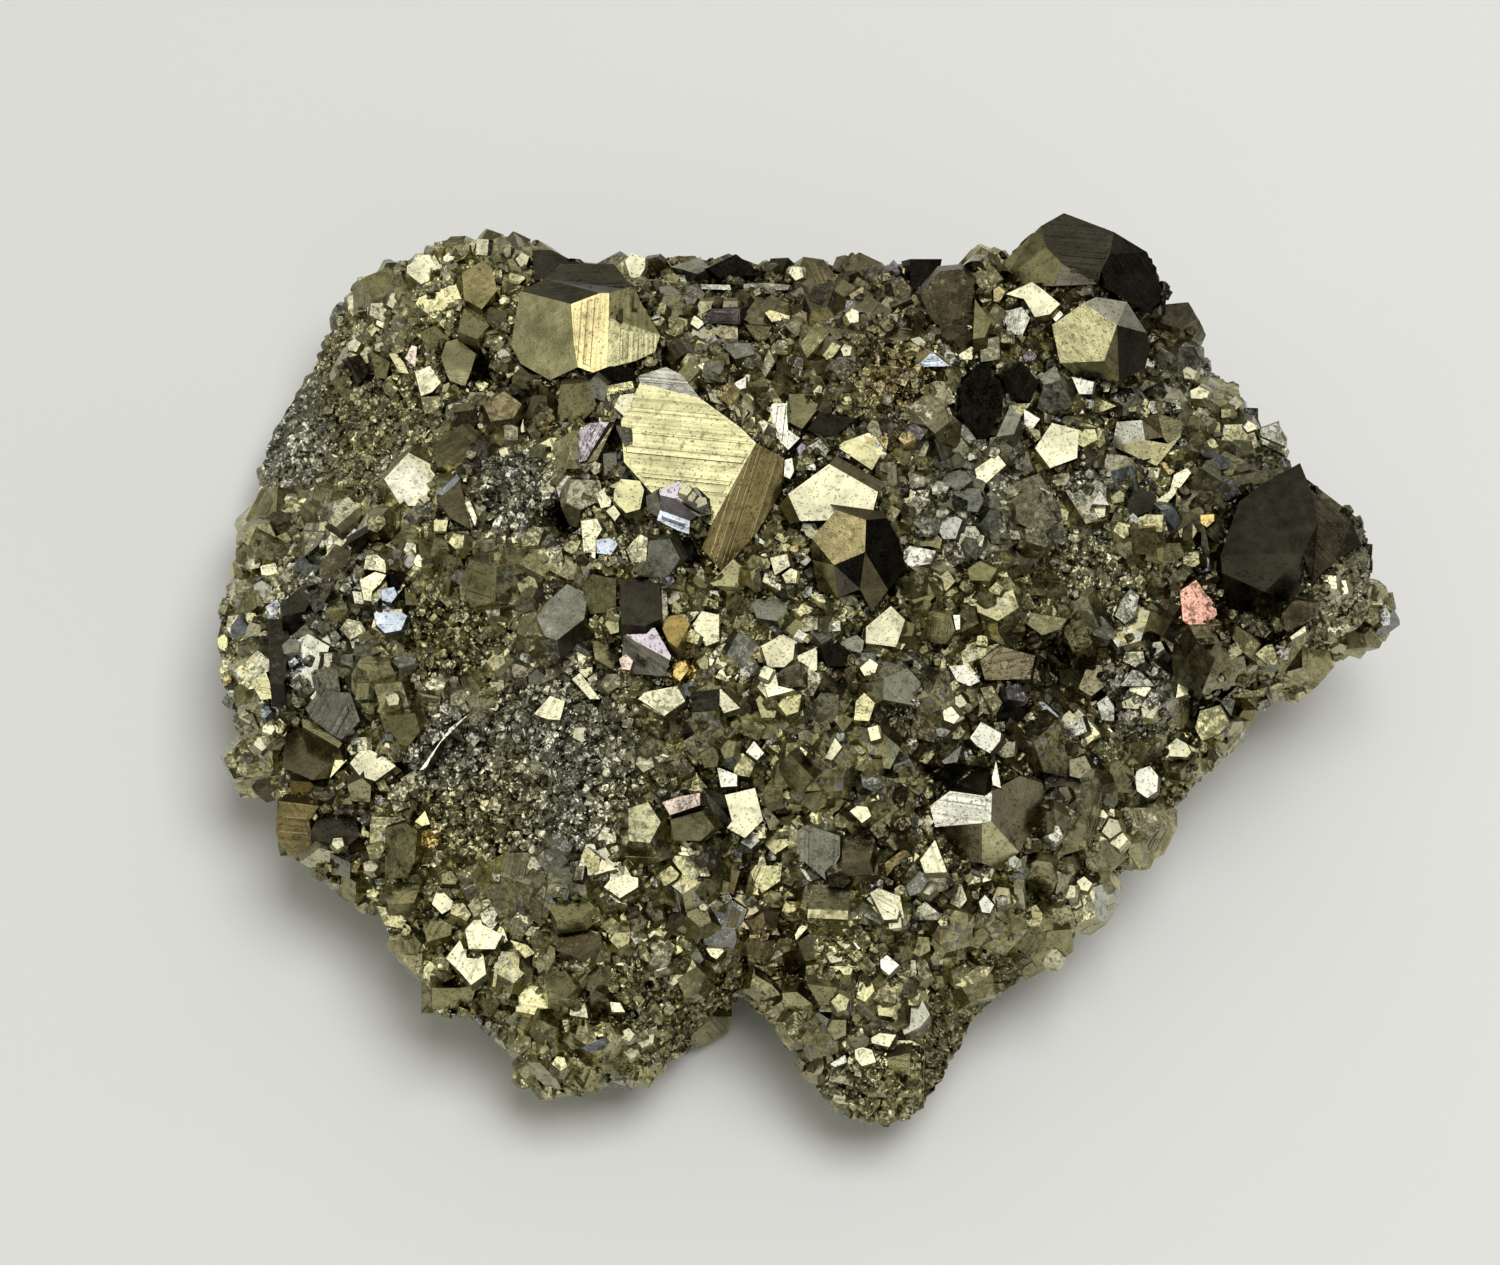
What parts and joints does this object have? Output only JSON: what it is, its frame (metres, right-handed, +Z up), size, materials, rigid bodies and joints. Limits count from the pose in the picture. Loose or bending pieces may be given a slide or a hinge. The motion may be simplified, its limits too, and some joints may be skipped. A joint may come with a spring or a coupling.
{
  "type": "pyrite specimen",
  "caption": "Hand-sized pyrite specimen: a plate of massive pyrite overgrown with intergrown pyritohedral crystals, notched at the front and flat below.",
  "frame": {"origin": "a point on the flat broken underside, below the middle of the specimen", "axes": "+Z up, out of the crystallised side; +X along the specimen's length, towards its pointed end; -Y towards the notched front edge"},
  "size_m": [0.0997, 0.0801, 0.0324],
  "materials": {
    "pyrite": "natural mirror-bright crystal faces, pale brass-yellow to grey with brown and iridescent tarnish"
  },
  "bodies": {
    "root": {"pyrite_cluster": "pyrite"}
  },
  "joints": []
}
